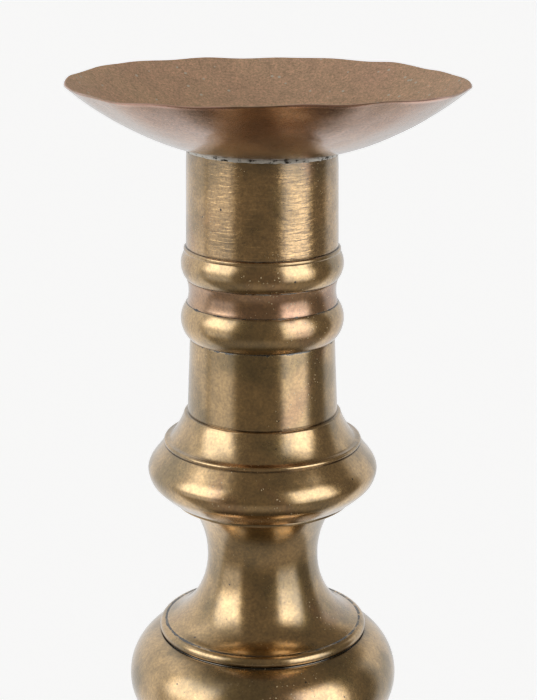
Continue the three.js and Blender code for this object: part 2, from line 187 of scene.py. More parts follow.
def aged_brass(name, rubbed, skin, coppery, tool_marks=0.0, turning=0.2):
    """Old cast brass, turned and rubbed to a satin, under a thin brown skin of oxide, wax and handling.

    Yellow brown where it is rubbed, darker or redder where it is not. Shallow ripples of hand finishing
    bend its reflections; turning lines, tool marks and pinholes break them up. The wax gives a whiter
    gleam over the metal's own. Seams hold black dirt and grey solder.
    """
    material, tree = new_material(name)
    place = add_node(tree, "TexCoord")["Object"]
    clouds = add_node(tree, "TexNoise", {"Vector": place, "Scale": 1 / (26 * MM), "Detail": 5.0})["Fac"]
    patches = add_node(
        tree, "TexNoise", {"Vector": place, "Scale": 1 / (48 * MM), "Detail": 3.0, "Distortion": 0.8}
    )["Fac"]
    grain = add_node(tree, "TexNoise", {"Vector": place, "Scale": 1 / (1.4 * MM), "Detail": 3.0})["Fac"]

    skin_share = add_node(
        tree,
        "MapRange",
        {"Value": clouds, "From Min": 0.40, "From Max": 0.68},
        interpolation_type="SMOOTHSTEP",
    )["Result"]
    coppery_share = add_node(
        tree,
        "MapRange",
        {"Value": patches, "From Min": 0.52, "From Max": 0.70, "To Max": 0.5},
        interpolation_type="SMOOTHSTEP",
    )["Result"]
    tint = add_node(
        tree, "MixRGB", {"Fac": skin_share, "Color1": linear(rubbed), "Color2": linear(skin)}
    )["Color"]
    tint = add_node(
        tree, "MixRGB", {"Fac": coppery_share, "Color1": tint, "Color2": linear(coppery)}
    )["Color"]
    mottle = add_node(
        tree, "TexNoise", {"Vector": place, "Scale": 1 / (6 * MM), "Detail": 4.0, "Roughness": 0.7}
    )["Fac"]
    mottle_shade = add_node(
        tree,
        "MapRange",
        {"Value": mottle, "From Min": 0.3, "From Max": 0.7, "To Min": 0.8, "To Max": 1.12},
    )["Result"]
    tint = add_node(
        tree, "MixRGB", {"Fac": 1.0, "Color1": tint, "Color2": mottle_shade}, blend_type="MULTIPLY"
    )["Color"]
    grain_shade = add_node(
        tree,
        "MapRange",
        {"Value": grain, "From Min": 0.3, "From Max": 0.7, "To Min": 0.78, "To Max": 1.2},
    )["Result"]
    tint = add_node(
        tree, "MixRGB", {"Fac": 1.0, "Color1": tint, "Color2": grain_shade}, blend_type="MULTIPLY"
    )["Color"]

    # Painted shade: where ambient occlusion finds a hollow, the colour is darkened towards a dark umber.
    open_to_light = add_node(tree, "AmbientOcclusion", {"Distance": 19 * MM}, samples=6)["AO"]
    painted_hollow_shade = add_node(
        tree,
        "MapRange",
        {"Value": open_to_light, "From Min": 0.42, "From Max": 0.92, "To Min": 0.95, "To Max": 0.0},
    )["Result"]
    tint = add_node(tree, "MixRGB", {"Fac": painted_hollow_shade, "Color1": tint, "Color2": linear("#4a4132")})["Color"]

    # Pinholes of the casting, up to 1 mm across, a few to the square centimetre.
    pits = add_node(tree, "TexVoronoi", {"Vector": place, "Scale": 1 / (3.2 * MM)})["Distance"]
    pit_size = add_node(
        tree,
        "MapRange",
        {"Value": clouds, "From Min": 0.35, "From Max": 0.75, "To Min": 0.02, "To Max": 0.16},
    )["Result"]
    pit = add_node(tree, "Math", {0: pits, 1: pit_size}, operation="LESS_THAN")["Value"]
    pit = add_node(tree, "Math", {0: pit, 1: PITTING}, operation="MULTIPLY")["Value"]

    # Pale specks of dust and old polish, up to 0.7 mm across, in patches.
    dust = add_node(tree, "TexVoronoi", {"Vector": place, "Scale": 1 / (2.2 * MM)})["Distance"]
    dust_size = add_node(
        tree,
        "MapRange",
        {"Value": patches, "From Min": 0.40, "From Max": 0.62, "To Min": 0.0, "To Max": 0.17},
    )["Result"]
    dust = add_node(tree, "Math", {0: dust, 1: dust_size}, operation="LESS_THAN")["Value"]
    tint = add_node(tree, "MixRGB", {"Fac": dust, "Color1": tint, "Color2": linear("#e6d3ad")})["Color"]

    # A few nicks, about 1 mm across, from knocks.
    nicks = add_node(tree, "TexVoronoi", {"Vector": place, "Scale": 1 / (12 * MM)})["Distance"]
    nick = add_node(tree, "Math", {0: nicks, 1: 0.045}, operation="LESS_THAN")["Value"]
    pit = add_node(tree, "Math", {0: pit, 1: nick}, operation="MAXIMUM")["Value"]

    # Dirt and solder in the seams, broken along their length.
    depth = add_node(tree, "Attribute", attribute_name="grime")["Fac"]
    broken = add_node(
        tree, "TexNoise", {"Vector": place, "Scale": 1 / (6 * MM), "Detail": 5.0, "Roughness": 0.7}
    )["Fac"]
    reach = add_node(
        tree,
        "MapRange",
        {"Value": broken, "From Min": 0.35, "From Max": 0.65, "To Min": 1.1, "To Max": 0.5},
    )["Result"]
    edge = add_node(tree, "Math", {0: depth, 1: reach}, operation="SUBTRACT")["Value"]
    grime = add_node(tree, "MapRange", {"Value": edge, "From Min": 0.0, "From Max": 0.12})["Result"]
    greyness = add_node(
        tree,
        "MapRange",
        {"Value": patches, "From Min": 0.48, "From Max": 0.58},
        interpolation_type="SMOOTHSTEP",
    )["Result"]
    filling = add_node(
        tree, "MixRGB", {"Fac": greyness, "Color1": linear("#1d1712"), "Color2": linear("#6f6a60")}
    )["Color"]
    tint = add_node(tree, "MixRGB", {"Fac": pit, "Color1": tint, "Color2": linear("#2a2016")})["Color"]
    tint = add_node(tree, "MixRGB", {"Fac": grime, "Color1": tint, "Color2": filling})["Color"]

    metal_share = add_node(tree, "MapRange", {"Value": grime, "To Min": 1.0, "To Max": 0.25})["Result"]
    rough = add_node(
        tree, "MapRange", {"Value": skin_share, "To Min": GLOSS, "To Max": GLOSS + 0.10}
    )["Result"]
    dull = add_node(tree, "Math", {0: grime, 1: dust}, operation="MAXIMUM")["Value"]
    rough = add_node(tree, "Math", {0: dull, 1: 0.45, 2: rough}, operation="MULTIPLY_ADD")["Value"]

    # Heights: ripples 12 mm long, turning lines 0.9 mm apart and short tool marks round the piece.
    round_it = add_node(tree, "VectorMath", {0: place, 1: (0.05, 0.05, 1.0)}, operation="MULTIPLY")["Vector"]
    lines = add_node(tree, "TexNoise", {"Vector": round_it, "Scale": 1 / (0.9 * MM), "Detail": 3.0})["Fac"]
    short = add_node(tree, "VectorMath", {0: place, 1: (0.2, 0.2, 1.0)}, operation="MULTIPLY")["Vector"]
    marks = add_node(
        tree, "TexNoise", {"Vector": short, "Scale": 1 / (1.7 * MM), "Detail": 4.0, "Distortion": 0.4}
    )["Fac"]
    ripples = add_node(tree, "TexNoise", {"Vector": place, "Scale": 1 / (12 * MM), "Detail": 2.0})["Fac"]
    normal = add_node(tree, "Bump", {"Height": ripples, "Strength": 1.0, "Distance": 0.25 * MM})["Normal"]
    normal = add_node(
        tree, "Bump", {"Height": lines, "Strength": 1.0, "Distance": 0.045 * MM * turning, "Normal": normal}
    )["Normal"]
    normal = add_node(
        tree, "Bump", {"Height": marks, "Strength": 1.0, "Distance": 0.28 * MM * tool_marks, "Normal": normal}
    )["Normal"]
    normal = add_node(
        tree, "Bump", {"Height": pit, "Strength": 0.6, "Distance": 0.1 * MM, "Normal": normal}, invert=True
    )["Normal"]

    surface = add_node(
        tree,
        "BsdfPrincipled",
        {"Base Color": tint, "Metallic": metal_share, "Roughness": rough, "Normal": normal},
    )
    surface[0].node.inputs["Coat Weight"].default_value = 1.0
    surface[0].node.inputs["Coat Roughness"].default_value = 0.15
    surface[0].node.inputs["Coat IOR"].default_value = COAT_IOR
    add_node(tree, "OutputMaterial", {"Surface": surface["BSDF"]})
    return material


filed_brass = aged_brass(
    "filed cast brass", "#e4bb82", "#ab8c5b", "#cb9270", tool_marks=1.3, turning=0.3
)

NECK_TOP = 667.6
BORE = 34
PAN_SLOPE = (-0.025, -0.016)  # rise of the pan's underside where the neck meets it, along X and Y
neck_foot = seam_under("neck_tube")
neck = turned(
    "neck_tube_scraped",
    [(37.7, NECK_TOP), (37.95, NECK_TOP - 8), (38.35, neck_foot)],
    [(BORE, neck_foot), (BORE, NECK_TOP)],
)
mark_seams(neck, (neck_foot, 0.25))
follow_pan(neck, NECK_TOP - 6)
finished(neck, filed_brass, "neck_tube")

# ---------------------------------------------------------------------------
# Drip pan. A dish beaten out of thin sheet over a former. It sits a little off centre and out of level,
# and its thin edge has been knocked wavy. The inside is matt from wax and dust; the outside is smoother.

PAN_RADIUS = 100
PAN_SIDES = 256
DISH_RADIUS = 150  # of the underside
SHEET = 1.2
RIM_HEIGHT = 700
PAN_LIFT = 1.5  # mean height of the wavy edge above RIM_HEIGHT
PAN_OFFSET = 2.9  # to the right of the stem's axis
PAN_TILT = math.radians(0.3)  # right side down
PAN_TIP = math.radians(0.9)  # front up
# Lobes, height and turn in degrees of each wave in the rim.
RIM_WAVES = ((2, 0.7, -67), (3, 0.6, 42), (5, 0.15, -8), (11, 0.3, 12), (17, 0.22, 5))


def arc(centre, radius, start, end, steps):
    """Points of an arc, its angles in degrees from straight out, upwards."""
    turns = [math.radians(start + (end - start) * i / steps) for i in range(steps + 1)]
    return [(centre[0] + radius * math.cos(a), centre[1] + radius * math.sin(a)) for a in turns]


def dish_arc(radius, centre_z, from_r, to_r, steps):
    """Arc of the dish between two distances from its axis."""
    start, end = (-math.degrees(math.acos(r / radius)) for r in (from_r, to_r))
    return arc((0, centre_z), radius, start, end, steps)


def seat_pan(piece):
    """Makes the edge wavy, then tips the piece and shifts it to where the pan sits."""
    x, y, z = points_of(piece).T
    angle = np.arctan2(y, x)
    share = (np.hypot(x, y) / PAN_RADIUS) ** 4
    for lobes, height, turn in RIM_WAVES:
        z = z + share * height * np.cos(lobes * (angle - math.radians(turn)))
    c, s = math.cos(PAN_TILT), math.sin(PAN_TILT)
    x, z = x * c + z * s, z * c - x * s
    c, s = math.cos(PAN_TIP), math.sin(PAN_TIP)
    y, z = y * c + z * s, z * c - y * s
    move_points(piece, np.column_stack([x + PAN_OFFSET, y, z + RIM_HEIGHT + PAN_LIFT]))


def dented(piece, size_mm, depth_mm):
    """Shallow dents left by the hammer or by knocks."""
    clouds = bpy.data.textures.new(piece.name + " dents", "CLOUDS")
    clouds.noise_scale = size_mm * MM
    clouds.noise_depth = 1
    dents = piece.modifiers.new("dents", "DISPLACE")
    dents.texture = clouds
    dents.texture_coords = "LOCAL"
    dents.strength = depth_mm * MM
    dents.mid_level = 0.5
    bpy.context.view_layer.objects.active = piece
    bpy.ops.object.modifier_apply(modifier=dents.name)


def beaten_brass(name):
    """Thin brass sheet, beaten and left to darken to a coppery brown.

    Inside, old wax and dust make it matt, with a fine grain and pale specks up to 1.7 mm across. The
    outside is smoother, with a gleam of wax, painted shade near the neck and a painted highlight along its
    edge in places.
    """
    material, tree = new_material(name)
    place = add_node(tree, "TexCoord")["Object"]
    inside = add_node(tree, "Attribute", attribute_name="inside")["Fac"]
    clouds = add_node(tree, "TexNoise", {"Vector": place, "Scale": 1 / (34 * MM), "Detail": 5.0})["Fac"]
    mottle = add_node(
        tree, "TexNoise", {"Vector": place, "Scale": 1 / (7 * MM), "Detail": 5.0, "Roughness": 0.7}
    )["Fac"]
    grain = add_node(
        tree, "TexNoise", {"Vector": place, "Scale": 1 / (1.3 * MM), "Detail": 4.0, "Roughness": 0.85}
    )["Fac"]
    waxed = add_node(tree, "MapRange", {"Value": inside, "To Min": 1.0, "To Max": 0.0})["Result"]
    outer = add_node(
        tree, "MixRGB", {"Fac": clouds, "Color1": linear("#c29873"), "Color2": linear("#946f5c")}
    )["Color"]
    inner = add_node(
        tree, "MixRGB", {"Fac": clouds, "Color1": linear("#dabb98"), "Color2": linear("#cda58c")}
    )["Color"]
    tint = add_node(tree, "MixRGB", {"Fac": inside, "Color1": outer, "Color2": inner})["Color"]
    shade = add_node(
        tree,
        "MapRange",
        {"Value": grain, "From Min": 0.35, "From Max": 0.65, "To Min": 0.6, "To Max": 1.4},
    )["Result"]
    tint = add_node(
        tree, "MixRGB", {"Fac": 0.8, "Color1": tint, "Color2": shade}, blend_type="MULTIPLY"
    )["Color"]
    shade = add_node(
        tree,
        "MapRange",
        {"Value": mottle, "From Min": 0.3, "From Max": 0.7, "To Min": 0.85, "To Max": 1.12},
    )["Result"]
    tint = add_node(
        tree, "MixRGB", {"Fac": 1.0, "Color1": tint, "Color2": shade}, blend_type="MULTIPLY"
    )["Color"]

    # Specks inside; painted shade, dark brown, on the outside near the neck; and a painted highlight along
    # the edge.
    specks = add_node(tree, "TexVoronoi", {"Vector": place, "Scale": 1 / (7 * MM)})["Distance"]
    speck = add_node(tree, "Math", {0: specks, 1: 0.12}, operation="LESS_THAN")["Value"]
    speck = add_node(tree, "Math", {0: speck, 1: inside}, operation="MULTIPLY")["Value"]
    tint = add_node(tree, "MixRGB", {"Fac": speck, "Color1": tint, "Color2": linear("#d8cfc0")})["Color"]
    # Painted shade: the outside turns dark brown where ambient occlusion finds the corner under the pan, by
    # the neck.
    open_to_light = add_node(tree, "AmbientOcclusion", {"Distance": 30 * MM}, samples=6)["AO"]
    painted_hollow_shade = add_node(
        tree,
        "MapRange",
        {"Value": open_to_light, "From Min": 0.5, "From Max": 0.95, "To Min": 0.9, "To Max": 0.0},
    )["Result"]
    painted_hollow_shade = add_node(tree, "Math", {0: painted_hollow_shade, 1: waxed}, operation="MULTIPLY")["Value"]
    tint = add_node(tree, "MixRGB", {"Fac": painted_hollow_shade, "Color1": tint, "Color2": linear("#4a3a28")})["Color"]
    # Painted highlight: a pale pinkish band along the last millimetre of the rim, broken by noise.
    edge = add_node(tree, "Attribute", attribute_name="edge")["Fac"]
    worn = add_node(tree, "MapRange", {"Value": clouds, "From Min": 0.42, "From Max": 0.58})["Result"]
    worn = add_node(tree, "Math", {0: edge, 1: worn}, operation="MULTIPLY")["Value"]
    tint = add_node(tree, "MixRGB", {"Fac": worn, "Color1": tint, "Color2": linear("#dfb09a")})["Color"]

    rough = add_node(tree, "MapRange", {"Value": inside, "To Min": 0.15, "To Max": 0.7})["Result"]
    metal_share = add_node(tree, "MapRange", {"Value": inside, "To Min": 0.95, "To Max": 0.12})["Result"]
    depth = add_node(tree, "MapRange", {"Value": inside, "To Min": 0.25, "To Max": 1.0})["Result"]
    normal = add_node(tree, "Bump", {"Height": grain, "Strength": depth, "Distance": 0.3 * MM})["Normal"]
    normal = add_node(
        tree, "Bump", {"Height": mottle, "Strength": 0.6, "Distance": 0.25 * MM, "Normal": normal}
    )["Normal"]
    surface = add_node(
        tree,
        "BsdfPrincipled",
        {"Base Color": tint, "Metallic": metal_share, "Roughness": rough, "Normal": normal},
    )
    tree.links.new(waxed, surface[0].node.inputs["Coat Weight"])
    surface[0].node.inputs["Coat Roughness"].default_value = 0.14
    surface[0].node.inputs["Coat IOR"].default_value = 1.6
    add_node(tree, "OutputMaterial", {"Surface": surface["BSDF"]})
    return material


dish_z = math.sqrt(DISH_RADIUS**2 - PAN_RADIUS**2)
ROD_HOLE = 8
pan = turned(
    "drip_pan_beaten",
    dish_arc(DISH_RADIUS, dish_z, PAN_RADIUS, ROD_HOLE, 40),
    finely(dish_arc(DISH_RADIUS - SHEET, dish_z, ROD_HOLE, PAN_RADIUS - SHEET, 40)),
    sides=PAN_SIDES,
    worn=0.35,
)
local = points_of(pan)
from_centre = np.linalg.norm(local - np.array([0, 0, dish_z]), axis=1)
within = np.clip((DISH_RADIUS - 0.3 * SHEET - from_centre) / (0.5 * SHEET), 0, 1)
pan.data.attributes.new("inside", "FLOAT", "POINT").data.foreach_set("value", within)
# Where the painted highlight along the rim goes: the last millimetre of the pan's radius.
rim_highlight_band = (np.hypot(local[:, 0], local[:, 1]) > PAN_RADIUS - 1.0).astype(float)
pan.data.attributes.new("edge", "FLOAT", "POINT").data.foreach_set("value", rim_highlight_band)
seat_pan(pan)
dented(pan, 22, 0.5)
finished(pan, beaten_brass("beaten sheet brass"), "drip_pan", slot="beaten_brass")

# ---------------------------------------------------------------------------
# Solder fillet. Soft solder run round the corner where the pan meets the neck, wiped by hand, so it is
# lumpy, uneven in width and broken in places. Dull grey, black where dirt has caught.


def soft_solder(name):
    """Tin and lead solder, dull grey and lumpy, with black dirt in its hollows."""
    material, tree = new_material(name)
    place = add_node(tree, "TexCoord")["Object"]
    lumps = add_node(
        tree, "TexNoise", {"Vector": place, "Scale": 1 / (3.5 * MM), "Detail": 5.0, "Roughness": 0.7}
    )["Fac"]
    clean = add_node(
        tree,
        "MapRange",
        {"Value": lumps, "From Min": 0.40, "From Max": 0.50},
        interpolation_type="SMOOTHSTEP",
    )["Result"]
    tint = add_node(
        tree, "MixRGB", {"Fac": clean, "Color1": linear("#332d27"), "Color2": linear("#d2cec6")}
    )["Color"]
    rough = add_node(tree, "MapRange", {"Value": clean, "To Min": 0.75, "To Max": 0.38})["Result"]
    normal = add_node(tree, "Bump", {"Height": lumps, "Strength": 0.8, "Distance": 0.5 * MM})["Normal"]
    surface = add_node(
        tree,
        "BsdfPrincipled",
        {"Base Color": tint, "Metallic": 0.7, "Roughness": rough, "Normal": normal},
    )
    add_node(tree, "OutputMaterial", {"Surface": surface["BSDF"]})
    return material


solder_grey = soft_solder("soft solder")
fillet = turned(
    "pan_solder_fillet",
    finely([(39.7, NECK_TOP + 1.0), (38.7, NECK_TOP + 0.3), (38.1, NECK_TOP - 0.7)]),
    [(37.0, NECK_TOP - 0.7), (37.0, NECK_TOP + 1.0)],
    worn=0,
)
follow_pan(fillet, 0)
dented(fillet, 3, 0.9)
finished(fillet, solder_grey, "pan_solder", slot="soft_solder")

# ---------------------------------------------------------------------------
# Beads of the neck. Two half-round rings with a hollow ring between them, each turned and soldered on.
# Their seams are black with dirt, and grey where the solder shows.

turned_brass = aged_brass("turned cast brass", "#d7b177", "#9d8250", "#b98762")
coppery_brass = aged_brass("coppery cast brass", "#cfa275", "#b0835d", "#c0886a")


def bead_arc(crown, height, radius, from_z, to_z, steps):
    """Arc of a bead between two heights, given its crown's place and the radius of its section."""
    start, end = (math.degrees(math.asin((z - height) / radius)) for z in (from_z, to_z))
    return arc((crown - radius, height), radius, start, end, steps)


def cove(waist, z, flare, reach, from_z, to_z, steps):
    """Concave flare away from a waist: a quarter ellipse of width flare and height reach."""
    heights = [from_z + (to_z - from_z) * i / steps for i in range(steps + 1)]
    return [(waist + flare * (1 - math.sqrt(1 - ((h - z) / reach) ** 2)), h) for h in heights]


UPPER_BEAD = {"crown": 41.1, "height": 610.5, "radius": 11.9}
LOWER_BEAD = {"crown": 41.4, "height": 582, "radius": 13.8}
SCOTIA = {"waist": 37.3, "z": 596.5, "flare": 12, "reach": 15}

upper_foot = seam_under("upper_bead_ring")
upper_bead = turned(
    "upper_bead_turned",
    [(38.7, neck_foot), (39.5, neck_foot - 0.5), (39.6, neck_foot - 1.7), (39.25, neck_foot - 2.1)]
    + bead_arc(**UPPER_BEAD, from_z=neck_foot - 2.5, to_z=upper_foot, steps=12),
    [(BORE, upper_foot), (BORE, neck_foot)],
)
mark_seams(upper_bead, (neck_foot, 0.35), (upper_foot, 1.0))
finished(upper_bead, turned_brass, "upper_bead_ring")

scotia_foot = seam_under("scotia_ring")
scotia = turned(
    "scotia_turned",
    cove(**SCOTIA, from_z=upper_foot, to_z=scotia_foot, steps=10),
    [(BORE, scotia_foot), (BORE, upper_foot)],
)
mark_seams(scotia, (upper_foot, 0.9), (scotia_foot, 1.5))
finished(scotia, coppery_brass, "scotia_ring")

lower_foot = seam_under("lower_bead_ring")
lower_bead = turned(
    "lower_bead_turned",
    bead_arc(**LOWER_BEAD, from_z=scotia_foot, to_z=lower_foot, steps=14),
    [(BORE, lower_foot), (BORE, scotia_foot)],
)
mark_seams(lower_bead, (scotia_foot, 1.3), (lower_foot, 1.8))
finished(lower_bead, turned_brass, "lower_bead_ring")

# ---------------------------------------------------------------------------
# Column. A short tube that widens slightly downwards, turned and rubbed smooth, with a few nicks.

column_foot = seam_under("column_tube")
column = turned(
    "column_turned",
    [(36.9, lower_foot), (37.4, 559), (38.5, column_foot)],
    [(BORE, column_foot), (BORE, lower_foot)],
)
mark_seams(column, (lower_foot, 2.4), (column_foot, 0.15))
finished(column, turned_brass, "column_tube")

# ---------------------------------------------------------------------------
# Knop. A flared shoulder with a rounded lip stands on a hollow ring with a rounded edge; a thin plate
# closes it below. All are turned from castings and soldered.

shoulder_foot = seam_under("knop_shoulder")
FLARE_FOOT = 516.2
FLARE_CENTRE, FLARE_RADIUS = (80.2, 545.5), 42.2
LIP_RADIUS = 1.25
shoulder = turned(
    "knop_shoulder_turned",
    [(38.9, column_foot), (39.9, column_foot - 0.3), (40.35, column_foot - 1.0)]
    + arc(FLARE_CENTRE, FLARE_RADIUS, 198.5, 219.5, 14)
    + arc((49.6, FLARE_FOOT + 0.9), LIP_RADIUS, 105, -50, 10),
    [(50.4, shoulder_foot), (44, shoulder_foot), (44, FLARE_FOOT)]
    + [(37, 525), (BORE, 529), (BORE, column_foot)],
)
mark_seams(shoulder, (shoulder_foot, 0.2))
finished(shoulder, turned_brass, "knop_shoulder")


def flowing(points, steps):
    """A smooth curve through a few points (Catmull-Rom)."""
    ends = [points[0], *points, points[-1]]
    curve = []
    for a, b, c, d in zip(ends, ends[1:], ends[2:], ends[3:]):
        for i in range(steps):
            t = i / steps
            weights = (
                -t / 2 + t**2 - t**3 / 2,
                1 - 2.5 * t**2 + 1.5 * t**3,
                t / 2 + 2 * t**2 - 1.5 * t**3,
                -(t**2) / 2 + t**3 / 2,
            )
            curve.append(tuple(sum(w * p[k] for w, p in zip(weights, (a, b, c, d))) for k in (0, 1)))
    return curve + [points[-1]]


knop_foot = seam_under("knop_bowl")
knop_edge = [(54.6, 510.9), (57.9, 506.4), (59.2, 501.8), (57.3, 495.8), (52.9, 491.2)]
knop = turned(
    "knop_ring_turned",
    flowing([(50.6, shoulder_foot), *knop_edge, (48.2, knop_foot)], 6),
    [(45.2, knop_foot)] + arc((46.2, 501.5), 10, -48, 48, 8) + [(46.5, shoulder_foot)],
)
mark_seams(knop, (shoulder_foot, 0.3), (knop_foot, 0.5))
finished(knop, turned_brass, "knop_bowl")

plate_foot = seam_under("knop_underplate")
PLATE_BORE = 30
knop_plate = turned(
    "knop_underplate_turned",
    [(45.4, knop_foot), (45.9, knop_foot - 0.8), (45.9, plate_foot + 0.6), (45.4, plate_foot)],
    [(PLATE_BORE, plate_foot), (PLATE_BORE, knop_foot)],
)
mark_seams(knop_plate, (knop_foot, 0.6))
finished(knop_plate, turned_brass, "knop_underplate")

# ---------------------------------------------------------------------------
# Upper waist. A cast trumpet, narrow in the middle, that flares down to the collar of the bulb.

waist_foot = seam_under("upper_waist")
NARROW = 454
WAIST = 28.8
CAST_WALL = 3
waist_outside = cove(WAIST, NARROW, 38, 44, plate_foot, NARROW, 20)
waist_outside += cove(WAIST, NARROW, 32, 38.5, NARROW, waist_foot, 26)[1:]
waist = turned("upper_waist_turned", waist_outside, [(r - CAST_WALL, z) for r, z in waist_outside[::-4]])
mark_seams(waist, (waist_foot, 0.4))
finished(waist, turned_brass, "upper_waist")

# ---------------------------------------------------------------------------
# Bulb. A squat hollow ball under a half-round collar, closed below by a plate.

collar_foot = seam_under("bulb_collar")
collar_middle = (waist_foot + collar_foot) / 2
collar = turned(
    "bulb_collar_turned",
    arc((51.2, collar_middle), (waist_foot - collar_foot) / 2, 88, -66, 14),
    [(52.8, collar_foot), (46, collar_foot), (46, waist_foot)],
)
mark_seams(collar, (waist_foot, 0.3), (collar_foot, 0.25))
finished(collar, turned_brass, "bulb_collar")

bulb_foot = seam_under("bulb_shell")
BULB_ARC = 27
BULB_RADIUS = 70.5
BULB_HEIGHT = 387  # of its widest line
BULB_WALL = 2.5
bulb_centre = (BULB_RADIUS - BULB_ARC, BULB_HEIGHT)
bulb = turned(
    "bulb_turned",
    [(53.0, collar_foot)] + arc(bulb_centre, BULB_ARC, 67, -88, 42),
    arc(bulb_centre, BULB_ARC - BULB_WALL, -88, 66, 20) + [(49, collar_foot)],
)
mark_seams(bulb, (collar_foot + 0.13, 0.35), (bulb_foot, 0.8))
finished(bulb, turned_brass, "bulb_shell")

bulb_plate_foot = seam_under("bulb_underplate")
bulb_plate = turned(
    "bulb_underplate_turned",
    [(45.4, bulb_foot), (46, bulb_foot - 0.7), (46, bulb_plate_foot + 0.6), (45.4, bulb_plate_foot)],
    [(PLATE_BORE, bulb_plate_foot), (PLATE_BORE, bulb_foot)],
)
mark_seams(bulb_plate, (bulb_foot, 0.6))
finished(bulb_plate, turned_brass, "bulb_underplate")

# ---------------------------------------------------------------------------
# Lower waist. The taller twin of the upper one, cast in one piece and turned, under the bulb's plate.

lower_waist_foot = seam_under("lower_waist")
LOWER_NARROW = 305
LOWER_WAIST = 27
lower_waist_outside = cove(LOWER_WAIST, LOWER_NARROW, 24, 62, bulb_plate_foot, LOWER_NARROW, 24)
lower_waist_outside += cove(LOWER_WAIST, LOWER_NARROW, 33, 60, LOWER_NARROW, lower_waist_foot, 28)[1:]
lower_waist = turned(
    "lower_waist_turned", lower_waist_outside, [(r - CAST_WALL, z) for r, z in lower_waist_outside[::-4]]
)
mark_seams(lower_waist, (bulb_plate_foot, 0.6), (lower_waist_foot, 0.8))
finished(lower_waist, turned_brass, "lower_waist")

# ---------------------------------------------------------------------------
# Lower knop. A hollow ring with a round edge between two half-round collars, all turned brass.

lower_collar_foot = seam_under("lower_collar")
lower_collar = turned(
    "lower_collar_turned",
    arc((48.6, (lower_waist_foot + lower_collar_foot) / 2), 3.95, 88, -88, 12),
    [(43, lower_collar_foot), (43, lower_waist_foot)],
)
mark_seams(lower_collar, (lower_waist_foot, 0.6), (lower_collar_foot, 0.6))
finished(lower_collar, turned_brass, "lower_collar")

lower_knop_foot = seam_under("lower_knop")
lower_knop_middle = (lower_collar_foot + lower_knop_foot) / 2
lower_knop = turned(
    "lower_knop_turned",
    arc((40, lower_knop_middle), 17.5, 76, -76, 30),
    arc((36, lower_knop_middle), 15, -70, 70, 14),
)
mark_seams(lower_knop, (lower_collar_foot, 0.6), (lower_knop_foot, 0.6))
finished(lower_knop, turned_brass, "lower_knop")

base_collar_foot = seam_under("base_collar")
base_collar = turned(
    "base_collar_turned",
    [(45, lower_knop_foot)]
    + arc((44.6, (lower_knop_foot + base_collar_foot) / 2), 3.2, 68, -68, 10)
    + [(45, base_collar_foot)],
    [(36, base_collar_foot), (36, lower_knop_foot)],
)
mark_seams(base_collar, (lower_knop_foot, 0.6), (base_collar_foot, 0.6))
finished(base_collar, turned_brass, "base_collar")

# ---------------------------------------------------------------------------
# Base. A bell-shaped cast dome, open below, that stands on a moulded rim with a flat inner flange. The
# outside is turned and rubbed like the stem.

BASE_SIDES = 192


def bezier(start, near_start, near_end, end, steps):
    """Points of a curve from one place to another, drawn towards the two corners between."""
    curve = []
    for i in range(steps + 1):
        t = i / steps
        weights = ((1 - t) ** 3, 3 * t * (1 - t) ** 2, 3 * t**2 * (1 - t), t**3)
        corners = zip(start, near_start, near_end, end)
        curve.append(tuple(sum(w * c for w, c in zip(weights, values)) for values in corners))
    return curve


dome_foot = seam_under("base_dome")
dome_outside = bezier((43, base_collar_foot), (42, 165), (56, 149), (80, 142), 30)
dome_outside += bezier((80, 142), (97, 136), (103, 122), (103.5, 100), 24)[1:]
dome_outside += bezier((103.5, 100), (104, 80), (107, 62), (113, dome_foot), 20)[1:]
dome_inside = bezier((110, dome_foot), (104, 62), (101, 80), (100.5, 100), 10)
dome_inside += bezier((100.5, 100), (100, 121), (94, 133), (78, 142 - CAST_WALL), 12)[1:]
dome_inside += bezier((78, 142 - CAST_WALL), (54, 146), (39.5, 163), (40, base_collar_foot), 14)[1:]
dome = turned("base_dome_turned", dome_outside, dome_inside, BASE_SIDES)
mark_seams(dome, (base_collar_foot, 0.8), (dome_foot, 0.8))
finished(dome, turned_brass, "base_dome")


def cut_hole(piece, radius, x=0.0, y=0.0):
    """Drills a round hole right through the piece, upright."""
    centre = (x * MM, y * MM, 0)
    bpy.ops.mesh.primitive_cylinder_add(vertices=48, radius=radius * MM, depth=2, location=centre)
    drill = bpy.context.object
    hole = piece.modifiers.new("hole", "BOOLEAN")
    hole.operation = "DIFFERENCE"
    hole.object = drill
    bpy.context.view_layer.objects.active = piece
    bpy.ops.object.modifier_apply(modifier=hole.name)
    bpy.data.objects.remove(drill)


def place_of(node):
    """Where a node stands on the floor plan: the middle of its box."""
    low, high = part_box(node)
    return (low.x + high.x) / 2 / MM, (low.y + high.y) / 2 / MM


rim_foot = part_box("base_rim")[0].z / MM
foot_places = [place_of(f"bun_foot_{i}") for i in (1, 2, 3)]
FLANGE = 4
rim = turned(
    "base_rim_turned",
    [(113.5, dome_foot), (114, dome_foot - 2.5)]
    + arc((113, rim_foot + 8), 7, 70, -70, 18)
    + [(114.5, rim_foot)],
    [(90, rim_foot), (90, rim_foot + FLANGE), (108.5, rim_foot + FLANGE), (109.5, dome_foot)],
    BASE_SIDES,
    worn=0,
)
STUD_HOLE = 4.2
for x, y in foot_places:
    cut_hole(rim, STUD_HOLE, x, y)
bevel(rim, 0.3)
mark_seams(rim, (dome_foot, 0.8))
finished(rim, turned_brass, "base_rim")

# ---------------------------------------------------------------------------
# Feet. Three solid turned buns. Each has an iron stud screwed into it, which goes up through the rim's
# flange and takes a hexagonal nut.


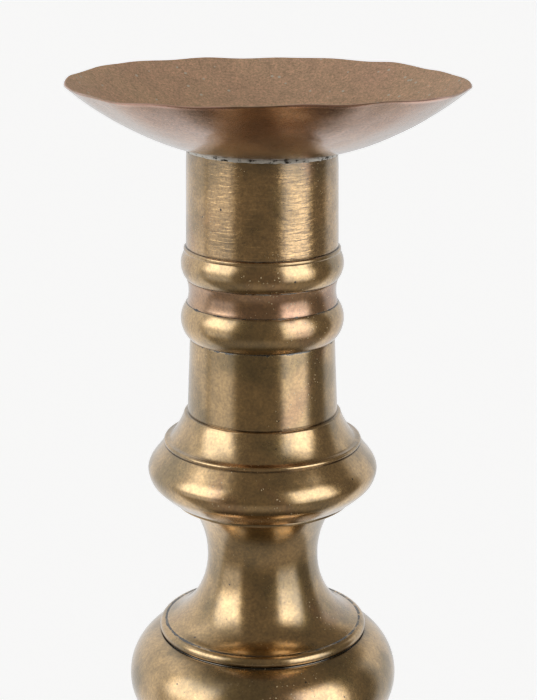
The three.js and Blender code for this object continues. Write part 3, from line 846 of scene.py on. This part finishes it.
def flat_shape(name, outline, low, high):
    """Fills a flat outline and raises it into a plate between two heights."""
    bpy.ops.object.select_all(action="DESELECT")
    bpy.ops.mesh.primitive_plane_add(size=MM)
    piece = bpy.context.object
    piece.name = piece.data.name = name
    bpy.ops.object.mode_set(mode="EDIT")
    bpy.ops.mesh.merge(type="CENTER")
    bpy.ops.transform.translate(value=(outline[0][0] * MM, outline[0][1] * MM, low * MM))
    for (x0, y0), (x1, y1) in zip(outline, outline[1:] + outline[:1]):
        step = ((x1 - x0) * MM, (y1 - y0) * MM, 0)
        bpy.ops.mesh.extrude_region_move(TRANSFORM_OT_translate={"value": step})
    bpy.ops.mesh.select_all(action="SELECT")
    bpy.ops.mesh.remove_doubles(threshold=0.001 * MM)
    bpy.ops.mesh.edge_face_add()
    bpy.ops.mesh.extrude_region_move(TRANSFORM_OT_translate={"value": (0, 0, (high - low) * MM)})
    bpy.ops.mesh.select_all(action="SELECT")
    bpy.ops.mesh.normals_make_consistent(inside=False)
    bpy.ops.object.mode_set(mode="OBJECT")
    return piece


def smooth_by_angle(piece):
    """Shades the piece smooth, but for its sharp edges."""
    bpy.ops.object.select_all(action="DESELECT")
    piece.select_set(True)
    bpy.context.view_layer.objects.active = piece
    bpy.ops.object.shade_smooth_by_angle(angle=SMOOTH_ANGLE)


def copies_at(first, places, names):
    """Copies a piece made on the axis, each copy with its own mesh, and moves each one to its place."""
    made = [first]
    for name in names[1:]:
        twin = first.copy()
        twin.data = first.data.copy()
        twin.name = twin.data.name = name
        bpy.context.scene.collection.objects.link(twin)
        made.append(twin)
    for piece, (x, y) in zip(made, places):
        move_points(piece, points_of(piece) + (x, y, 0))
    return made


def dark_iron(name):
    """Wrought iron, black from the forge, rubbed grey on its edges, with thin brown rust."""
    material, tree = new_material(name)
    place = add_node(tree, "TexCoord")["Object"]
    clouds = add_node(
        tree, "TexNoise", {"Vector": place, "Scale": 1 / (9 * MM), "Detail": 6.0, "Roughness": 0.65}
    )["Fac"]
    scale = add_node(tree, "TexNoise", {"Vector": place, "Scale": 1 / (1.6 * MM), "Detail": 4.0})["Fac"]
    rust = add_node(
        tree,
        "MapRange",
        {"Value": clouds, "From Min": 0.48, "From Max": 0.66},
        interpolation_type="SMOOTHSTEP",
    )["Result"]
    tint = add_node(
        tree, "MixRGB", {"Fac": rust, "Color1": linear("#57524d"), "Color2": linear("#6d4a34")}
    )["Color"]
    rough = add_node(tree, "MapRange", {"Value": rust, "To Min": 0.42, "To Max": 0.8})["Result"]
    metal_share = add_node(tree, "MapRange", {"Value": rust, "To Min": 0.95, "To Max": 0.2})["Result"]
    normal = add_node(tree, "Bump", {"Height": scale, "Strength": 0.5, "Distance": 0.15 * MM})["Normal"]
    surface = add_node(
        tree,
        "BsdfPrincipled",
        {"Base Color": tint, "Metallic": metal_share, "Roughness": rough, "Normal": normal},
    )
    add_node(tree, "OutputMaterial", {"Surface": surface["BSDF"]})
    return material


iron = dark_iron("wrought iron")

SMALL_SIDES = 96  # faces round a small turned piece
THREAD_SIDES = 48
BUN_TOP = rim_foot - 2 * HALF_GAP
BUN_BORE = 4.1
STUD_SEAT = 14
bun = turned(
    "bun_foot_1_turned",
    [(11, BUN_TOP)] + arc((8.5, 17.5), 12.5, 74, -74, 28) + [(11, 0)],
    [(0, 0), (0, STUD_SEAT), (BUN_BORE, STUD_SEAT), (BUN_BORE, BUN_TOP)],
    SMALL_SIDES,
)
bun_names = [f"bun_foot_{i}_turned" for i in (1, 2, 3)]
for i, piece in enumerate(copies_at(bun, foot_places, bun_names), 1):
    finished(piece, turned_brass, f"bun_foot_{i}")


def threaded(radius, low, high, pitch, depth):
    """Outline of a screw thread seen from the side, from the top down."""
    turns = int((high - low) / pitch)
    outline = []
    for i in range(turns):
        top = high - i * pitch
        outline += [(radius - depth, top), (radius, top - 0.4 * pitch), (radius, top - 0.6 * pitch)]
    return outline


STUD = 3.8  # radius over the thread
stud_low, stud_high = (corner.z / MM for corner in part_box("foot_stud_1"))
flange_top = rim_foot + FLANGE
stud = turned(
    "foot_stud_1_threaded",
    [(0, stud_high), (3, stud_high)]
    + threaded(STUD, flange_top, stud_high - 0.4, pitch=1, depth=0.35)
    + [(STUD, flange_top - 1)],
    [(STUD, stud_low + 0.5), (STUD - 0.5, stud_low), (0, stud_low)],
    THREAD_SIDES,
    worn=0,
)
stud_names = [f"foot_stud_{i}_threaded" for i in (1, 2, 3)]
for i, piece in enumerate(copies_at(stud, foot_places, stud_names), 1):
    finished(piece, iron, f"foot_stud_{i}", slot="wrought_iron")

nut_low, nut_high = (corner.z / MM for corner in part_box("foot_nut_1"))
NUT_ACROSS_FLATS = 13
NUT_CORNER = NUT_ACROSS_FLATS / math.sqrt(3)
turns = [math.radians(60 * i) for i in range(6)]
hexagon = [(NUT_CORNER * math.cos(turn), NUT_CORNER * math.sin(turn)) for turn in turns]
nut = flat_shape("foot_nut_1_forged", hexagon, nut_low, nut_high)
cut_hole(nut, BUN_BORE)
bevel(nut, 0.5, 3)
smooth_by_angle(nut)
nut_names = [f"foot_nut_{i}_forged" for i in (1, 2, 3)]
for i, piece in enumerate(copies_at(nut, foot_places, nut_names), 1):
    finished(piece, iron, f"foot_nut_{i}", slot="wrought_iron")

# ---------------------------------------------------------------------------
# Pricket. A forged iron rod, the spine of the whole stick: its spike stands in the pan over a brass
# washer, and its threaded foot hangs inside the dome. A brass cap in the neck keeps it central.

SPIKE, ROD = 4.2, 5  # radii
THREAD_TOP = 158
THREAD_PITCH = 1.6
washer_foot, washer_top = (corner.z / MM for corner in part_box("pricket_washer"))
pan_floor = washer_foot - 2
rod_foot, spike_tip = (corner.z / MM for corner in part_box("pricket_rod"))
rod = turned(
    "pricket_rod_forged",
    [(0, spike_tip), (0.5, spike_tip), (1, spike_tip - 0.6), (SPIKE, pan_floor + 6), (SPIKE, pan_floor - 8)]
    + [(ROD, pan_floor - 12), (ROD, THREAD_TOP)]
    + threaded(ROD, rod_foot + THREAD_PITCH, THREAD_TOP, THREAD_PITCH, depth=0.55),
    [(4.2, rod_foot + 1), (3.6, rod_foot), (0, rod_foot)],
    THREAD_SIDES,
    worn=0,
)
finished(rod, iron, "pricket_rod", slot="wrought_iron")

WASHER, WASHER_HOLE = 17, 5  # radii
washer = turned(
    "pricket_washer_turned",
    [(WASHER, washer_top), (WASHER, washer_foot)],
    [(WASHER_HOLE, washer_foot), (WASHER_HOLE, washer_top)],
    SMALL_SIDES,
)
finished(washer, turned_brass, "pricket_washer")

cap_foot, cap_top = (corner.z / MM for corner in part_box("neck_cap"))
CAP, CAP_HOLE = 33.7, 6  # radii
cap = turned(
    "neck_cap_turned",
    [(CAP, cap_top), (CAP, cap_foot)],
    [(CAP_HOLE, cap_foot), (CAP_HOLE, cap_top)],
    SMALL_SIDES,
)
finished(cap, turned_brass, "neck_cap")

# ---------------------------------------------------------------------------
# Clamp. A forged bar bears up against the dome inside the base; a washer and a wing nut on the rod's
# thread pull the rod down and the whole stack together.

bar_low, bar_high = (corner.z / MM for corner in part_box("clamp_bar"))
bar_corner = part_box("clamp_bar")[1]
half, wide = bar_corner.x / MM, bar_corner.y / MM
quarter = [(half, wide * 2 / 3), (half - 5, wide)]
right = [(x, -y) for x, y in quarter[::-1]] + quarter
bar = flat_shape("clamp_bar_forged", right + [(-x, -y) for x, y in right], bar_low, bar_high)
CLAMP_HOLE = 5.6
cut_hole(bar, CLAMP_HOLE)
bevel(bar, 0.7, 3)
smooth_by_angle(bar)
finished(bar, iron, "clamp_bar", slot="wrought_iron", body="clamp_bar")

disc_foot, disc_top = (corner.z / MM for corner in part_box("clamp_washer"))
DISC = 15  # radius
disc = turned(
    "clamp_washer_forged",
    [(DISC, disc_top), (DISC, disc_foot)],
    [(CLAMP_HOLE, disc_foot), (CLAMP_HOLE, disc_top)],
    SMALL_SIDES,
)
finished(disc, iron, "clamp_washer", slot="wrought_iron", body="clamp_bar")

HUB_HEIGHT = 12
wing_nut_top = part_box("clamp_wing_nut")[1].z / MM
wing_nut_foot = wing_nut_top - HUB_HEIGHT
wing_nut = turned(
    "clamp_wing_nut_cast",
    [(10, wing_nut_top), (10, wing_nut_foot + 3), (8, wing_nut_foot)],
    [(CLAMP_HOLE, wing_nut_foot), (CLAMP_HOLE, wing_nut_top)],
    64,
    worn=0,
)
WING_THICKNESS = 4
wing_outline = bezier((8, 2), (14, 3), (16, -3), (22, -4), 12)
wing_outline += bezier((22, -4), (28, -4), (28, 8), (23, 10), 16)[1:]
wing_outline += bezier((23, 10), (18, 12), (14, 10), (8, 9), 12)[1:]
for side in (1, -1):
    wing = flat_shape("wing", wing_outline, -WING_THICKNESS / 2, WING_THICKNESS / 2)
    x, y, z = points_of(wing).T
    move_points(wing, np.column_stack([side * x, -side * z, y + wing_nut_foot]))
    weld = wing_nut.modifiers.new("wing", "BOOLEAN")
    weld.operation = "UNION"
    weld.object = wing
    bpy.context.view_layer.objects.active = wing_nut
    bpy.ops.object.modifier_apply(modifier=weld.name)
    bpy.data.objects.remove(wing)
bevel(wing_nut, 0.5, 3)
smooth_by_angle(wing_nut)
finished(wing_nut, iron, "clamp_wing_nut", slot="wrought_iron", body="clamp_nut")

# ---------------------------------------------------------------------------
# Floor, light and camera. A white paper sweep, and two tall soft boxes beside the camera with a dark gap
# between them: the brass shows them as two upright bands.

FLOOR_RADIUS = 14  # in metres

bpy.ops.object.select_all(action="DESELECT")
bpy.ops.mesh.primitive_circle_add(vertices=96, radius=FLOOR_RADIUS, fill_type="NGON", location=(0, 0, 0))
floor = bpy.context.object
floor.name = "floor"
floor.visible_glossy = False
paper, tree = new_material("white paper sweep")
surface = add_node(tree, "BsdfPrincipled", {"Base Color": linear("#edf0f4"), "Roughness": 1.0})
surface[0].node.inputs["Specular IOR Level"].default_value = 0.0
surface[0].node.inputs["Emission Color"].default_value = (1, 1, 1, 1)
surface[0].node.inputs["Emission Strength"].default_value = 0.535
add_node(tree, "OutputMaterial", {"Surface": surface["BSDF"]})
floor.data.materials.append(paper)

studio = bpy.data.worlds.new("studio")
bpy.context.scene.world = studio
studio.use_nodes = True
tree = studio.node_tree
tree.nodes.clear()
direction = add_node(tree, "TexCoord")["Generated"]
axes = add_node(tree, "SeparateXYZ", {"Vector": direction})
toward = add_node(tree, "Math", {0: axes["Y"], 1: -1.0}, operation="MULTIPLY")["Value"]
azimuth = add_node(tree, "Math", {0: axes["X"], 1: toward}, operation="ARCTAN2")["Value"]
elevation = add_node(tree, "Math", {0: axes["Z"]}, operation="ARCSINE")["Value"]


def lit_between(angle, low, high, soft):
    """1 between two angles in degrees, and 0 from soft degrees outside them."""
    links = {"Value": angle, "From Min": math.radians(low - soft), "From Max": math.radians(low + soft)}
    rise = add_node(tree, "MapRange", links, interpolation_type="SMOOTHSTEP")["Result"]
    links = {"Value": angle, "From Min": math.radians(high - soft), "From Max": math.radians(high + soft)}
    links |= {"To Min": 1.0, "To Max": 0.0}
    fall = add_node(tree, "MapRange", links, interpolation_type="SMOOTHSTEP")["Result"]
    return add_node(tree, "Math", {0: rise, 1: fall}, operation="MULTIPLY")["Value"]


SOFT_ACROSS, SOFT_UP = 8, 10  # degrees over which a patch fades at its edges


def panel(sides, heights, strength):
    """A bright patch of the studio, between two azimuths and two elevations."""
    across = lit_between(azimuth, *sides, SOFT_ACROSS)
    up = lit_between(elevation, *heights, SOFT_UP)
    shape = add_node(tree, "Math", {0: across, 1: up}, operation="MULTIPLY")["Value"]
    return add_node(tree, "Math", {0: shape, 1: strength}, operation="MULTIPLY")["Value"]


patches_of_light = [
    panel((-90, -45), (6, 42), 2.4),  # left soft box
    panel((-90, -45), (-24, 6), 0.6),  # its light on the sweep
    panel((32, 73), (0, 41), 2.5),  # right soft box
    panel((32, 73), (-21, 0), 1.35),  # its light on the sweep
    panel((-135, -45), (38, 60), 0.4),  # ceiling at the left
    panel((-200, -95), (-58, 45), 0.7),  # white wall behind, left
    panel((112, 200), (-58, 30), 0.65),  # white wall behind, right
    panel((-200, 200), (-60, -29), 0.16),  # sweep all round
    panel((-200, 200), (-60, 95), 0.1),  # the rest of the room
]
ROOM_LIGHT = 0.088
total = ROOM_LIGHT
for patch in patches_of_light:
    total = add_node(tree, "Math", {0: patch, 1: total}, operation="ADD")["Value"]

# The sweep's own white shows behind the piece. The unlit room is a warm brown, and its lights are white.
seen = add_node(tree, "LightPath")["Is Camera Ray"]
shown = add_node(tree, "Mix", {0: seen, 2: total, 3: 0.94})[0]
whiteness = add_node(tree, "MapRange", {"Value": shown, "From Min": 0.1, "From Max": 0.7})["Result"]
room = add_node(
    tree, "MixRGB", {"Fac": whiteness, "Color1": linear("#e7d5b7"), "Color2": linear("#e7e7e7")}
)["Color"]
background = add_node(tree, "Background", {"Color": room, "Strength": shown})["Background"]
add_node(tree, "OutputWorld", {"Surface": background})

bpy.context.scene.view_settings.view_transform = "Standard"

CAMERA_DISTANCE = 938
CAMERA_TO_RIGHT = 3.1
CAMERA_ABOVE_RIM = 133.2
CAMERA_PITCH = 16
camera_data = bpy.data.cameras.new("camera")
camera_data.lens = 98.33
camera_data.sensor_width = 36
camera = bpy.data.objects.new("camera", camera_data)
bpy.context.scene.collection.objects.link(camera)
camera_height = RIM_HEIGHT + CAMERA_ABOVE_RIM
camera.location = (CAMERA_TO_RIGHT * MM, -CAMERA_DISTANCE * MM, camera_height * MM)
camera.rotation_euler = (math.radians(90 - CAMERA_PITCH), 0, 0)
bpy.context.scene.camera = camera
